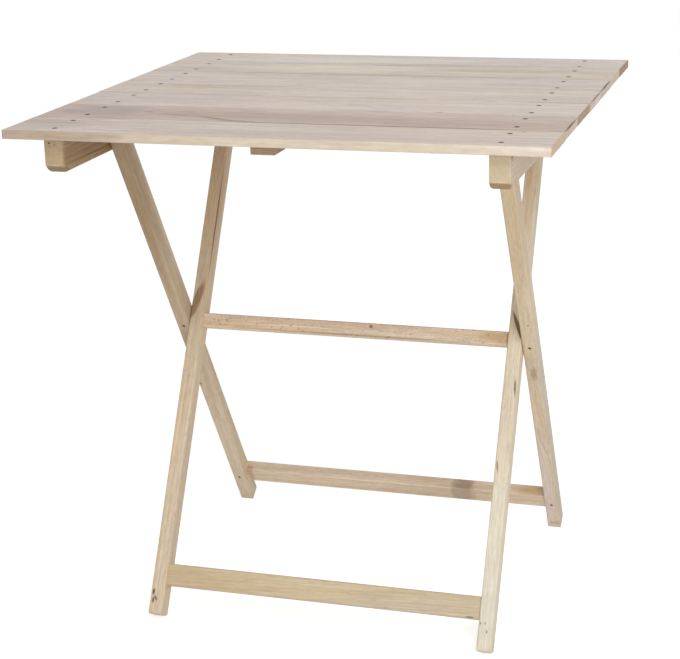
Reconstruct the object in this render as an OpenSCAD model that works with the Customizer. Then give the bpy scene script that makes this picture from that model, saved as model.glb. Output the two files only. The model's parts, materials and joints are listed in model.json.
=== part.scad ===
// Folding table in beech: a planked top on two rails, carried by two leg frames that cross.
// X runs along the planks, Y from the front edge to the back edge, Z up from the floor.
// The origin is on the floor under the middle of the top. All sizes are in millimetres.

/* [Tabletop] */
// Height of the top face above the floor
table_h = 740; // [700:1:780]
// Length of the planks, along X
top_len = 700; // [640:1:800]
// Depth of the whole top, across the planks
top_depth = 700; // [660:1:760]
// Number of planks
plank_count = 7; // [5:1:9]
// Thickness of a plank
plank_t = 12; // [10:0.5:18]
// Open seam between two planks
plank_gap = 0.5; // [0.2:0.1:2]
// Radius of a plank's eased long edges
plank_edge_r = 1.2; // [0.5:0.1:2.5]
// Distance of the nails from a plank's long edges
nail_edge = 22; // [14:1:30]

/* [Rails and batten] */
// Width of a rail, along X
rail_t = 26; // [22:1:34]
// Depth of a rail, downward
rail_h = 45; // [38:1:60]
// How far the planks reach past a rail's outer face
rail_overhang = 51; // [30:1:70]
// Distance of the rails' and batten's ends from the top's edges
end_inset = 15; // [8:1:30]
// Bevel at the lower corners of a rail's ends
rail_bevel = 10; // [4:1:14]
// Radius of the rails' eased long edges
rail_edge_r = 4.5; // [1:0.5:6]
// Width of the middle batten
batten_w = 32; // [20:1:60]
// Thickness of the middle batten
batten_t = 12; // [8:1:14]
// Sideways place of the middle batten
batten_x = -7; // [-60:1:60]

/* [Legs] */
// Width of a leg, seen from the side
leg_w = 27; // [22:0.5:32]
// Thickness of a leg, along X
leg_t = 20.5; // [18:0.5:26]
// Radius of the legs' eased long edges
leg_edge_r = 2; // [0.5:0.5:4]
// Side gap between neighbouring legs and rails
side_gap = 0.5; // [0.3:0.1:1.5]
// Height of the crossing of the two frames
pivot_h = 386; // [370:1:410]
// Place of the crossing, behind the middle
pivot_y = 21; // [0:1:40]
// Lean of the outer frame, whose top end is at the front
outer_lean = 32.8; // [30:0.1:35]
// Lean of the inner frame, whose top end is at the back
inner_lean = 29.9; // [27:0.1:32]
// Radius of the rounded corners of a foot, seen from the side
foot_r = 6; // [3:0.5:9]
// Radius of a foot's eased edges, seen from the front
foot_edge_r = 3; // [1:0.5:5]
// How much is planed off level where a foot stands
foot_flat = 0.5; // [0.2:0.1:1.5]

/* [Cross bars] */
// Height of the two foot bars, along the leg
foot_bar_h = 32; // [24:1:44]
// Thickness of the two foot bars
foot_bar_t = 19; // [14:0.5:22]
// Distance of the rear foot bar below the crossing, along the outer leg
rear_bar_down = 389; // [330:1:410]
// How far the rear foot bar is set back in its legs
rear_bar_back = 2; // [0:0.5:3]
// Distance of the front foot bar below the crossing, along the inner leg
front_bar_down = 381.5; // [320:0.5:400]
// Height of the pivot bar and of the top bar, along the leg
pivot_bar_h = 21; // [16:0.5:26]
// Thickness of the pivot bar and of the top bar
pivot_bar_t = 18; // [14:0.5:20]
// Radius of the bars' eased long edges
bar_edge_r = 3; // [1:0.5:5]
// Diameter of the round tenons on the bars
tenon_d = 13; // [10:0.5:14]
// Depth of a tenon in its last leg
tenon_len = 15; // [10:0.5:17]
// Diameter in the groove that holds the pivot bar sideways
groove_d = 10; // [8:0.5:11]
// Width of that groove
groove_w = 3.2; // [2.8:0.1:5]

/* [Hinge pins] */
// Diameter of the pins that the top swings on
pin_d = 8; // [6:0.5:9]
// Diameter of a pin's countersunk head
pin_head_d = 14; // [11:0.5:16]
// Height of the head's cone
pin_head_h = 4; // [3:0.5:5]
// How far a pin reaches into its rail
pin_grip = 15; // [10:0.5:20]
// How deep the head lies below the face of the leg
pin_head_sunk = 0.4; // [0.2:0.1:1]

/* [Stop blocks] */
// Width of a stop block, from the rail inward
stop_w = 45; // [36:1:60]
// Height of a stop block
stop_h = 20; // [14:1:26]
// Length of a stop block at the planks
stop_len = 42; // [30:1:60]
// Draft of a block's front face, which lets the top lift off
stop_draft = 8; // [5:1:15]

/* [Nails] */
// Diameter of a nail
nail_d = 2.2; // [1.6:0.1:3]
// Diameter of a nail's head
nail_head_d = 5; // [4:0.1:6]
// Thickness of a nail's head
nail_head_t = 1; // [0.8:0.1:1.5]
// How deep a head lies below the wood
nail_sunk = 0.5; // [0.2:0.1:1]
// Length of the nails through the planks
plank_nail_len = 36; // [28:1:42]
// How far the batten's and the blocks' nails reach into the planks
nail_bite = 7; // [5:0.5:8]
// Length of the nails through the legs into the tenons
tenon_nail_len = 17; // [14:0.5:19]

/* [Fits] */
// Radial clearance of the tenons and pins where they turn in the outer legs
turn_clear = 0.06; // [0.02:0.01:0.1]
// Radial clearance of glued tenons, and of nails and pins driven home
glue_clear = 0.05; // [0.02:0.01:0.1]
// Gap between the inner frame's ends and what they bear on
rest_gap = 0.4; // [0.3:0.1:1]
// Gap over the top bar, below the batten
batten_gap = 2; // [1:0.5:6]

/* [Hidden] */
$fn = 64;
// A margin by which a cutting solid passes the face that it cuts
cut = 1;
underside = table_h - plank_t;
plank_w = (top_depth - (plank_count - 1) * plank_gap) / plank_count;
rail_out = top_len / 2 - rail_overhang;
rail_in = rail_out - rail_t;
rail_mid = rail_out - rail_t / 2;
rail_len = top_depth - 2 * end_inset;
rail_bottom = underside - rail_h;
outer_out = rail_in - side_gap;
outer_in = outer_out - leg_t;
outer_mid = outer_out - leg_t / 2;
inner_out = outer_in - side_gap;
inner_in = inner_out - leg_t;
inner_mid = inner_out - leg_t / 2;
// The hinge pins sit at half the rails' depth, on the outer legs' centre line
pin_z = underside - rail_h / 2;
pin_up = (pin_z - pivot_h) / cos(outer_lean);
pin_y = pivot_y - pin_up * sin(outer_lean);
// A leg's length below the crossing. Its end is square, so that it stands on a rounded corner,
// and that corner would reach below the floor by what is planed off it.
function foot_down(lean) =
    foot_r + (pivot_h - (leg_w / 2 - foot_r) * sin(lean) - foot_r + foot_flat) / cos(lean);
outer_down = foot_down(outer_lean);
inner_down = foot_down(inner_lean);
// Blank length of the inner legs above the crossing, before their tops are cut level
inner_up = (underside - pivot_h) / cos(inner_lean) + leg_w;
// The top bar keeps below the batten, measured at its highest corner
top_bar_up = (underside - batten_t - batten_gap - pivot_h - pivot_bar_t / 2 * sin(inner_lean))
             / cos(inner_lean) - pivot_bar_h / 2;
// The blocks stand just behind the rear corners of the inner legs' tops
stop_y = pivot_y + (underside - rest_gap - pivot_h) * tan(inner_lean)
         + leg_w / 2 / cos(inner_lean) + rest_gap;
stop_nail_y = [stop_y + stop_len * 0.25, stop_y + stop_len * 0.75];
stop_mid = rail_in - stop_w / 2;
plank_rows = [for (i = [0 : plank_count - 1])
              -top_depth / 2 + i * (plank_w + plank_gap) + plank_w / 2];
nail_rows = [for (y = plank_rows, s = [-1, 1]) y + s * (plank_w / 2 - nail_edge)];
tenon_r = tenon_d / 2;
nail_head_z = underside + plank_t - nail_sunk;

// Flat rounded rectangle about the origin, with true arcs at its corners
module soft_rect(w, h, r) {
    square([w - 2 * r, h], center = true);
    square([w, h - 2 * r], center = true);
    for (sx = [-1, 1], sy = [-1, 1])
        translate([sx * (w / 2 - r), sy * (h / 2 - r)]) circle(r);
}

// The outer frame's own axes: Z up along its legs, origin at the crossing
module outer_axes() {
    translate([0, pivot_y, pivot_h]) rotate([outer_lean, 0, 0]) children();
}

// The inner frame's own axes
module inner_axes() {
    translate([0, pivot_y, pivot_h]) rotate([-inner_lean, 0, 0]) children();
}

// A cylinder along +X that starts at x
module rod_x(x, len, r) {
    translate([x, 0, 0]) rotate([0, 90, 0]) cylinder(h = len, r = r);
}

// A nail that points down -Z, with the top of its head at the origin
module nail(len) {
    translate([0, 0, -nail_head_t]) cylinder(h = nail_head_t, d = nail_head_d);
    translate([0, 0, -len]) cylinder(h = len, d = nail_d);
}

// The hole for a nail, which also frees the way out above its sunk head
module nail_hole(len) {
    translate([0, 0, -nail_head_t - glue_clear])
        cylinder(h = nail_head_t + nail_sunk + cut, r = nail_head_d / 2 + glue_clear);
    translate([0, 0, -len - glue_clear]) cylinder(h = len, r = nail_d / 2 + glue_clear);
}

// Places for the nails of the top, from above and from below
module at_plank_nails(x) {
    for (y = nail_rows) translate([x, y, nail_head_z]) children();
}
module at_batten_nails() {
    for (y = nail_rows)
        translate([batten_x, y, underside - batten_t + nail_sunk]) rotate([180, 0, 0]) children();
}
module at_stop_nails() {
    for (s = [-1, 1], y = stop_nail_y)
        translate([s * stop_mid, y, underside - stop_h + nail_sunk]) rotate([180, 0, 0]) children();
}

// Length of the nails that go up through the batten and through the blocks
batten_nail_len = batten_t - nail_sunk + nail_bite;
stop_nail_len = stop_h - nail_sunk + nail_bite;

module plank(i) {
    color("#d3c4b0")
    difference() {
        translate([-top_len / 2, plank_rows[i], underside + plank_t / 2])
            rotate([90, 0, 90]) linear_extrude(top_len) soft_rect(plank_w, plank_t, plank_edge_r);
        at_plank_nails(-rail_mid) nail_hole(plank_nail_len);
        at_plank_nails(rail_mid) nail_hole(plank_nail_len);
        at_batten_nails() nail_hole(batten_nail_len);
        at_stop_nails() nail_hole(stop_nail_len);
    }
}

// Side outline of a rail, with bevelled lower corners
module rail_side() {
    half = rail_len / 2;
    polygon([[-half, underside], [half, underside], [half, rail_bottom + rail_bevel],
             [half - rail_bevel, rail_bottom], [-half + rail_bevel, rail_bottom],
             [-half, rail_bottom + rail_bevel]]);
}

module rail(side) {
    color("#c9ae86")
    difference() {
        intersection() {
            translate([side * rail_mid - rail_t / 2, 0, 0])
                rotate([90, 0, 90]) linear_extrude(rail_t) rail_side();
            translate([side * rail_mid, rail_len / 2, underside - rail_h / 2])
                rotate([90, 0, 0]) linear_extrude(rail_len) soft_rect(rail_t, rail_h, rail_edge_r);
        }
        at_plank_nails(side * rail_mid) nail_hole(plank_nail_len);
        translate([0, pin_y, pin_z]) mirror([side < 0 ? 1 : 0, 0, 0])
            rod_x(rail_in - cut, pin_grip + cut + pin_head_sunk, pin_d / 2 + glue_clear);
    }
}

module centre_batten() {
    color("#c4a47c")
    difference() {
        translate([batten_x, rail_len / 2, underside - batten_t / 2])
            rotate([90, 0, 0]) linear_extrude(rail_len) soft_rect(batten_w, batten_t, plank_edge_r);
        at_batten_nails() nail_hole(batten_nail_len);
    }
}

// A block behind an inner leg's top, with its front face drawn back toward the bottom
module stop_block(side) {
    color("#c4a47c")
    difference() {
        translate([side > 0 ? rail_in - stop_w : -rail_in, 0, 0])
            rotate([90, 0, 90]) linear_extrude(stop_w)
                polygon([[stop_y, underside], [stop_y + stop_len, underside],
                         [stop_y + stop_len, underside - stop_h],
                         [stop_y + stop_h * tan(stop_draft), underside - stop_h]]);
        at_stop_nails() nail_hole(stop_nail_len);
    }
}

module plank_nails(side) {
    color("#5d5248") at_plank_nails(side * rail_mid) nail(plank_nail_len);
}

module batten_nails() {
    color("#5d5248") at_batten_nails() nail(batten_nail_len);
}

module stop_block_nails() {
    color("#5d5248") at_stop_nails() nail(stop_nail_len);
}

// A straight leg of rounded section between two heights on its own axis
module leg_blank(mid_x, low, high) {
    translate([mid_x, 0, low]) linear_extrude(high - low) soft_rect(leg_t, leg_w, leg_edge_r);
}

// A leg that ends in a foot, whose corners are rounded from the side and from the front
module footed_leg(mid_x, down, high) {
    outline = down + high + leg_w;
    intersection() {
        leg_blank(mid_x, -down, high);
        translate([mid_x - leg_t / 2 - cut, 0, outline / 2 - down])
            rotate([90, 0, 90]) linear_extrude(leg_t + 2 * cut) soft_rect(leg_w, outline, foot_r);
        translate([mid_x, leg_w / 2 + cut, outline / 2 - down])
            rotate([90, 0, 0]) linear_extrude(leg_w + 2 * cut) soft_rect(leg_t, outline, foot_edge_r);
    }
}

// The slab of space between the floor and a height
module above_floor(top) {
    translate([-top_len, -top_depth, 0]) cube([2 * top_len, 2 * top_depth, top]);
}

// Nail places on the legs, pointing into the tenons from the front or from the back
module at_outer_nails(up, back) {
    outer_axes() for (s = [-1, 1])
        translate([s * outer_mid, back - leg_w / 2 + nail_sunk, up]) rotate([90, 0, 0]) children();
}
module at_inner_nails(up) {
    inner_axes() for (s = [-1, 1])
        translate([s * inner_mid, leg_w / 2 - nail_sunk, up]) rotate([-90, 0, 0]) children();
}

// The retaining nail ends in the groove of the pivot bar's tenon
retaining_len = leg_w / 2 - nail_sunk - groove_d / 2 - rest_gap;

module outer_leg(side) {
    color("#d2b98f")
    difference() {
        intersection() {
            outer_axes() {
                footed_leg(side * outer_mid, outer_down, pin_up);
                intersection() {
                    leg_blank(side * outer_mid, pin_up - cut, pin_up + leg_w);
                    translate([0, 0, pin_up])
                        rod_x(side * outer_mid - leg_t / 2 - cut, leg_t + 2 * cut, leg_w / 2);
                }
            }
            above_floor(underside);
        }
        outer_axes() mirror([side < 0 ? 1 : 0, 0, 0]) {
            rod_x(outer_in - cut, tenon_len + cut + rest_gap, tenon_r + turn_clear);
            translate([0, rear_bar_back, -rear_bar_down])
                rod_x(outer_in - cut, tenon_len + cut + rest_gap, tenon_r + glue_clear);
            translate([0, 0, pin_up]) {
                rod_x(outer_in - cut, leg_t + 2 * cut, pin_d / 2 + turn_clear);
                translate([outer_in, 0, 0]) pin_head(rest_gap);
                rod_x(outer_in - cut, cut + pin_head_sunk, pin_head_d / 2 + rest_gap);
            }
        }
        at_outer_nails(0, 0) nail_hole(retaining_len);
        at_outer_nails(-rear_bar_down, 0) nail_hole(tenon_nail_len);
    }
}

module inner_leg(side) {
    color("#dcc59c")
    difference() {
        intersection() {
            inner_axes() footed_leg(side * inner_mid, inner_down, inner_up);
            above_floor(underside - rest_gap);
        }
        inner_axes() mirror([side < 0 ? 1 : 0, 0, 0]) {
            rod_x(inner_in - cut, leg_t + 2 * cut, tenon_r + glue_clear);
            for (up = [-front_bar_down, top_bar_up])
                translate([0, 0, up])
                    rod_x(inner_in - cut, tenon_len + cut + rest_gap, tenon_r + glue_clear);
        }
        for (up = [-front_bar_down, 0, top_bar_up]) at_inner_nails(up) nail_hole(tenon_nail_len);
    }
}

// A bar between two legs with a round tenon at each end
module bar(half, h, t, reach) {
    translate([-half, 0, 0]) rotate([90, 0, 90]) linear_extrude(2 * half) soft_rect(t, h, bar_edge_r);
    rod_x(-half - reach, 2 * (half + reach), tenon_r);
}

module rear_foot_bar() {
    color("#cdb48a")
    difference() {
        outer_axes() translate([0, rear_bar_back, -rear_bar_down])
            bar(outer_in, foot_bar_h, foot_bar_t, tenon_len);
        at_outer_nails(-rear_bar_down, 0) nail_hole(tenon_nail_len);
    }
}

module front_foot_bar() {
    color("#d0b98e")
    difference() {
        inner_axes() translate([0, 0, -front_bar_down])
            bar(inner_in, foot_bar_h, foot_bar_t, tenon_len);
        at_inner_nails(-front_bar_down) nail_hole(tenon_nail_len);
    }
}

module top_bar() {
    color("#cdb48a")
    difference() {
        inner_axes() translate([0, 0, top_bar_up])
            bar(inner_in, pivot_bar_h, pivot_bar_t, tenon_len);
        at_inner_nails(top_bar_up) nail_hole(tenon_nail_len);
    }
}

// The bar at the crossing: its long tenons pass the inner legs and turn in the outer ones
module pivot_bar() {
    reach = outer_in + tenon_len - inner_in;
    color("#cfae84")
    difference() {
        inner_axes() bar(inner_in, pivot_bar_h, pivot_bar_t, reach);
        inner_axes() for (s = [-1, 1])
            difference() {
                rod_x(s * outer_mid - groove_w / 2, groove_w, tenon_r + cut);
                rod_x(s * outer_mid - groove_w / 2 - cut, groove_w + 2 * cut, groove_d / 2);
            }
        at_inner_nails(0) nail_hole(tenon_nail_len);
    }
}

module rear_bar_nails() {
    color("#5d5248") at_outer_nails(-rear_bar_down, 0) nail(tenon_nail_len);
}

module pivot_retaining_nails() {
    color("#5d5248") at_outer_nails(0, 0) nail(retaining_len);
}

module inner_frame_nails() {
    color("#5d5248")
    for (up = [-front_bar_down, 0, top_bar_up]) at_inner_nails(up) nail(tenon_nail_len);
}

// The cone of a pin's head, grown by a clearance, with its wide face on the leg's inner face
module pin_head(grow) {
    rotate([0, 90, 0]) translate([0, 0, pin_head_sunk])
        cylinder(h = pin_head_h, r1 = pin_head_d / 2 + grow, r2 = pin_d / 2 + grow);
}

module hinge_pin(side) {
    color("#8d8a86")
    translate([0, pin_y, pin_z]) mirror([side < 0 ? 1 : 0, 0, 0]) {
        translate([outer_in, 0, 0]) pin_head(0);
        rod_x(outer_in + pin_head_sunk, rail_in - outer_in - pin_head_sunk + pin_grip, pin_d / 2);
    }
}

for (i = [0 : plank_count - 1]) plank(i);
rail(-1);  // rail_left
rail(1);  // rail_right
centre_batten();
stop_block(-1);  // stop_block_left
stop_block(1);  // stop_block_right
plank_nails(-1);  // plank_nails_left
plank_nails(1);  // plank_nails_right
batten_nails();
stop_block_nails();
outer_leg(-1);  // outer_leg_left
outer_leg(1);  // outer_leg_right
rear_foot_bar();
rear_bar_nails();
pivot_retaining_nails();
inner_leg(-1);  // inner_leg_left
inner_leg(1);  // inner_leg_right
front_foot_bar();
pivot_bar();
top_bar();
inner_frame_nails();
hinge_pin(-1);  // hinge_pin_left
hinge_pin(1);  // hinge_pin_right
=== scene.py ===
"""Looks of a beech folding table: boards, nails and raw-wood finishes round the fixed frame.

Lengths are metres in the frame's own axes, unless a name ends in _mm.
"""

import json
import logging
import math
from collections.abc import Callable, Iterable
from dataclasses import dataclass, field, replace
from enum import Enum
from functools import partial

import bmesh
import bpy
from mathutils import Euler, Matrix, Vector

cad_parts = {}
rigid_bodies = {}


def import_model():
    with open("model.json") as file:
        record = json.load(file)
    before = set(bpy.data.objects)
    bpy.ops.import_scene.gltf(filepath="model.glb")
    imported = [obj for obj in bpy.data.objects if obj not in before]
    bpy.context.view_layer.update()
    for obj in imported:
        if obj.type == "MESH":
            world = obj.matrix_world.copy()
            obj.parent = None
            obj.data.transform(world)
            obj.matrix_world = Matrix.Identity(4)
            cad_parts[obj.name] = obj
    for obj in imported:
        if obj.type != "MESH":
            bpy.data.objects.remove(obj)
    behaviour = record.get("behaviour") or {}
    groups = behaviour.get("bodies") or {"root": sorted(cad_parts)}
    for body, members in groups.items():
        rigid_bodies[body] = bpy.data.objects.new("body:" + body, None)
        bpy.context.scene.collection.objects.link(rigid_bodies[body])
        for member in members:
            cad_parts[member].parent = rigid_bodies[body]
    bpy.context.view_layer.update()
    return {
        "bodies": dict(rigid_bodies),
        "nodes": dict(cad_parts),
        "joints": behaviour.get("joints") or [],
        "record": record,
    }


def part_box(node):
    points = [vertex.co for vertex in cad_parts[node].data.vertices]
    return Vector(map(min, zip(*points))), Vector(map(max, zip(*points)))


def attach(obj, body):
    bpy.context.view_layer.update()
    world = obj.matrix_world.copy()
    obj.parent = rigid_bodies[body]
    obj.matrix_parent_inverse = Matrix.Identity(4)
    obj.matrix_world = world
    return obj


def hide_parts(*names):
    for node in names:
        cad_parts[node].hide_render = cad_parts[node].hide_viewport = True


MM = 0.001
# Vertices closer together than this are one.
MERGE = 1e-6
# The vertices round a nail and round its sunk place.
AROUND = 20
MATH = "ShaderNodeMath"
VECTOR_MATH = "ShaderNodeVectorMath"
MAP_RANGE = "ShaderNodeMapRange"
MIX = "ShaderNodeMix"
COMBINE = "ShaderNodeCombineXYZ"
SEPARATE = "ShaderNodeSeparateXYZ"
Node = bpy.types.Node
Socket = bpy.types.NodeSocket
# What add_node is for one tree.
Add = Callable[..., Node]
Pair = tuple[float, float]
Triple = tuple[float, float, float]
log = logging.getLogger("folding_table")


class Body(Enum):
    """The bodies that pieces ride on."""

    TABLETOP = "tabletop"
    OUTER = "outer_frame"
    INNER = "inner_frame"


class Slot(Enum):
    """The record's material slots that new pieces take their finish from."""

    PLANKS = "planks"
    FRAME = "frame"
    NAILS = "nails"


class Side(Enum):
    """The side of the legs that nails enter from, as the sign of its place behind the legs' middle."""

    FRONT = -1
    BACK = 1


class Along(Enum):
    """The way a piece's grain runs, as the columns of its own axes: along, across, through."""

    X = ((1, 0, 0), (0, 1, 0), (0, 0, 1))
    Y = ((0, 1, 0), (1, 0, 0), (0, 0, -1))
    Z = ((0, 0, 1), (1, 0, 0), (0, 1, 0))


def linear(code: str) -> tuple[float, float, float, float]:
    """Turns an sRGB hex colour to linear.

    Args:
        code: The colour, such as #d8c8b4.

    Returns:
        Red, green, blue and an alpha of 1.
    """
    parts = [int(code[i : i + 2], 16) / 255 for i in (1, 3, 5)]
    bent = [c / 12.92 if c <= 0.04045 else ((c + 0.055) / 1.055) ** 2.4 for c in parts]
    return (*bent, 1.0)


def add_node(
    tree: bpy.types.NodeTree, kind: str, inputs: dict[str | int, object] | Iterable[object] = (),
    **settings: object,
) -> Node:
    """Adds a node, sets its properties, and fills or links its inputs.

    Args:
        tree: The tree that gets the node.
        kind: The node's type name, such as ShaderNodeMath.
        inputs: Values in the order of the inputs, or by an input's name or number. A node among them
            stands for its first output that is in use, and a list is linked to one input in its order.
        settings: The node's properties by name.

    Returns:
        The new node.
    """
    node = tree.nodes.new(kind)
    for name, value in settings.items():
        setattr(node, name, value)
    for key, given in inputs.items() if isinstance(inputs, dict) else enumerate(inputs):
        for value in given if isinstance(given, list) else [given]:
            if isinstance(value, Node):
                value = next(socket for socket in value.outputs if socket.enabled)
            if isinstance(value, Socket):
                tree.links.new(value, node.inputs[key])
            else:
                node.inputs[key].default_value = value
    return node


def new_material(name: str) -> tuple[bpy.types.Material, Add]:
    """Makes a material with an empty node tree.

    Args:
        name: The material's name.

    Returns:
        The material, and add_node for its tree.
    """
    material = bpy.data.materials.new(name)
    material.use_nodes = True
    material.node_tree.nodes.clear()
    return material, partial(add_node, material.node_tree)


def link_object(name: str, data: bpy.types.ID) -> bpy.types.Object:
    """Puts a mesh, a lamp or a camera into the scene as an object at the origin.

    Args:
        name: The object's name.
        data: The mesh, lamp or camera.

    Returns:
        The object.
    """
    piece = bpy.data.objects.new(name, data)
    bpy.context.scene.collection.objects.link(piece)
    return piece


def dress(piece: bpy.types.Object, material: bpy.types.Material) -> None:
    """Gives the whole piece one material."""
    piece.data.materials.clear()
    piece.data.materials.append(material)


@dataclass(frozen=True)
class Grain:
    """How a piece was sawn from the log.

    The pith is the log's centre, seen from the piece's centre: millimetres across and through.
    The shift is where along the log the piece was cut, in metres. The runout is how far the fibres
    drift off the piece's length, and the lean how far the piece leans back, both in degrees.
    """

    along: Along
    lean: float = 0.0
    pith_mm: Pair = (12.0, 70.0)
    shift: float = 0.0
    runout: Pair = (0.0, 0.0)

    def place(self, centre: Vector) -> tuple[Vector, Euler]:
        """Gives the Mapping node's location and rotation that lead into the piece's own axes.

        Args:
            centre: The piece's centre in the frame.

        Returns:
            The location and the rotation.
        """
        upright = Matrix(self.along.value).transposed()
        turn = (Matrix.Rotation(math.radians(self.lean), 3, "X") @ upright).transposed()
        return -(turn @ centre), turn.to_euler("XYZ")


@dataclass(frozen=True)
class Mark:
    """A knot, streak or stain: a soft patch in the piece's own axes, in millimetres from its centre.

    On a row of boards the centre is the middle of the board's top face, and board counts from the front.
    The slope is in degrees. Ragged says how torn the rim is, and soft how far in it fades, as shares of
    the radii.
    """

    at_mm: Triple
    radii_mm: Triple
    colour: str
    strength: float = 0.8
    ragged: float = 0.6
    slope: float = 0.0
    board: int = 1
    soft: float = 0.65


Marks = tuple[Mark, ...]


@dataclass(frozen=True)
class BoardRow:
    """What the shader needs to know of a row of boards that one material covers.

    Each board's pattern is taken from its own stretch of the log: apart steps along and deeper steps down.
    A pair of reaches says where dirt, a stain or an end's tone begins and where it is full. Dirt and
    stains are broken up by patches, with a share between the patches and another within them.
    """

    pitch: float
    first: float
    count: int
    half_length: float
    nail_x: float
    nail_y: float
    tones: tuple[str, ...]
    end_tones: tuple[str, ...]
    apart: float = 0.83
    deeper: float = 0.017
    end_reach: Pair = (1.8 * MM, 1.4 * MM)
    seam_reach: Pair = (2.4 * MM, 1.0 * MM)
    rim_reach: Pair = (4.0 * MM, 6.0 * MM)
    stain_reach: Pair = (4.1 * MM, 3.1 * MM)
    seam_colour: str = "#7d6350"
    stain_colour: str = "#35261d"
    dirt_mm: Pair = (140.0, 90.0)
    dirt_band: Pair = (0.4, 0.62)
    dirt_share: Pair = (0.06, 0.5)
    stain_mm: Pair = (60.0, 30.0)
    stain_band: Pair = (0.34, 0.54)
    stain_share: Pair = (0.65, 1.0)


@dataclass(frozen=True)
class RawBeech:
    """Beech, planed and sanded, with no oil or varnish.

    It gives the eye a pale pinkish tan with faint rings, long hair lines and short brown ray flecks,
    and it is matt with a soft sheen along the fibres. Real hair lines are 0.2 to 0.5 mm wide, which is
    too fine to show, so they are drawn 1.5 to 5 mm wide. Sizes are along and across the grain, a band
    is the noise at which a layer begins and that at which it is full, and a depth is its full strength.
    """

    name: str = "raw_beech"
    pale: str = "#dccaae"
    warm: str = "#cfb691"
    late: str = "#b3926a"
    cloud: str = "#c9b7a8"
    fleck: str = "#94704c"
    tint: str = "#ffffff"
    ring_mm: float = 2.8
    warp_mm: float = 5.0
    sway_mm: Pair = (380.0, 80.0)
    fibre_mm: Pair = (60.0, 1.4)
    line_mm: Pair = (260.0, 1.8)
    streak_mm: Pair = (420.0, 8.0)
    cloud_mm: Pair = (260.0, 50.0)
    fleck_mm: Pair = (6.0, 1.3)
    mottle_mm: Pair = (9.0, 2.6)
    streak_band: Pair = (0.36, 0.66)
    cloud_band: Pair = (0.4, 0.66)
    line_band: Pair = (0.58, 0.7)
    fleck_band: Pair = (0.62, 0.72)
    shade_band: Pair = (0.3, 0.7)
    ring_depth: float = 0.3
    streak_depth: float = 0.7
    cloud_depth: float = 0.45
    line_depth: float = 0.4
    fibre_depth: float = 0.07
    mottle_depth: float = 0.035
    fleck_depth: float = 0.35
    noise_roughness: float = 0.55
    tear_scale: float = 2.2
    ring_sharpness: float = 2.5
    ring_relief: float = 0.25
    relief: float = 0.18 * MM
    relief_strength: float = 0.35
    roughness: Pair = (0.5, 0.62)
    specular: float = 0.35

    def material(
        self, name: str, grain: Grain, centre: Vector, marks: Marks = (),
        row: BoardRow | None = None,
    ) -> bpy.types.Material:
        """Makes the finish for one piece.

        Args:
            name: The piece's name.
            grain: How the piece was sawn.
            centre: The piece's centre in the frame.
            marks: The piece's own knots, streaks and stains.
            row: The row of boards that the material covers, if it does.

        Returns:
            The material.
        """
        made, add = new_material(f"{self.name}_{name}")
        BeechDrawing(self, add, grain, centre, row).draw(marks)
        return made


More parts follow.
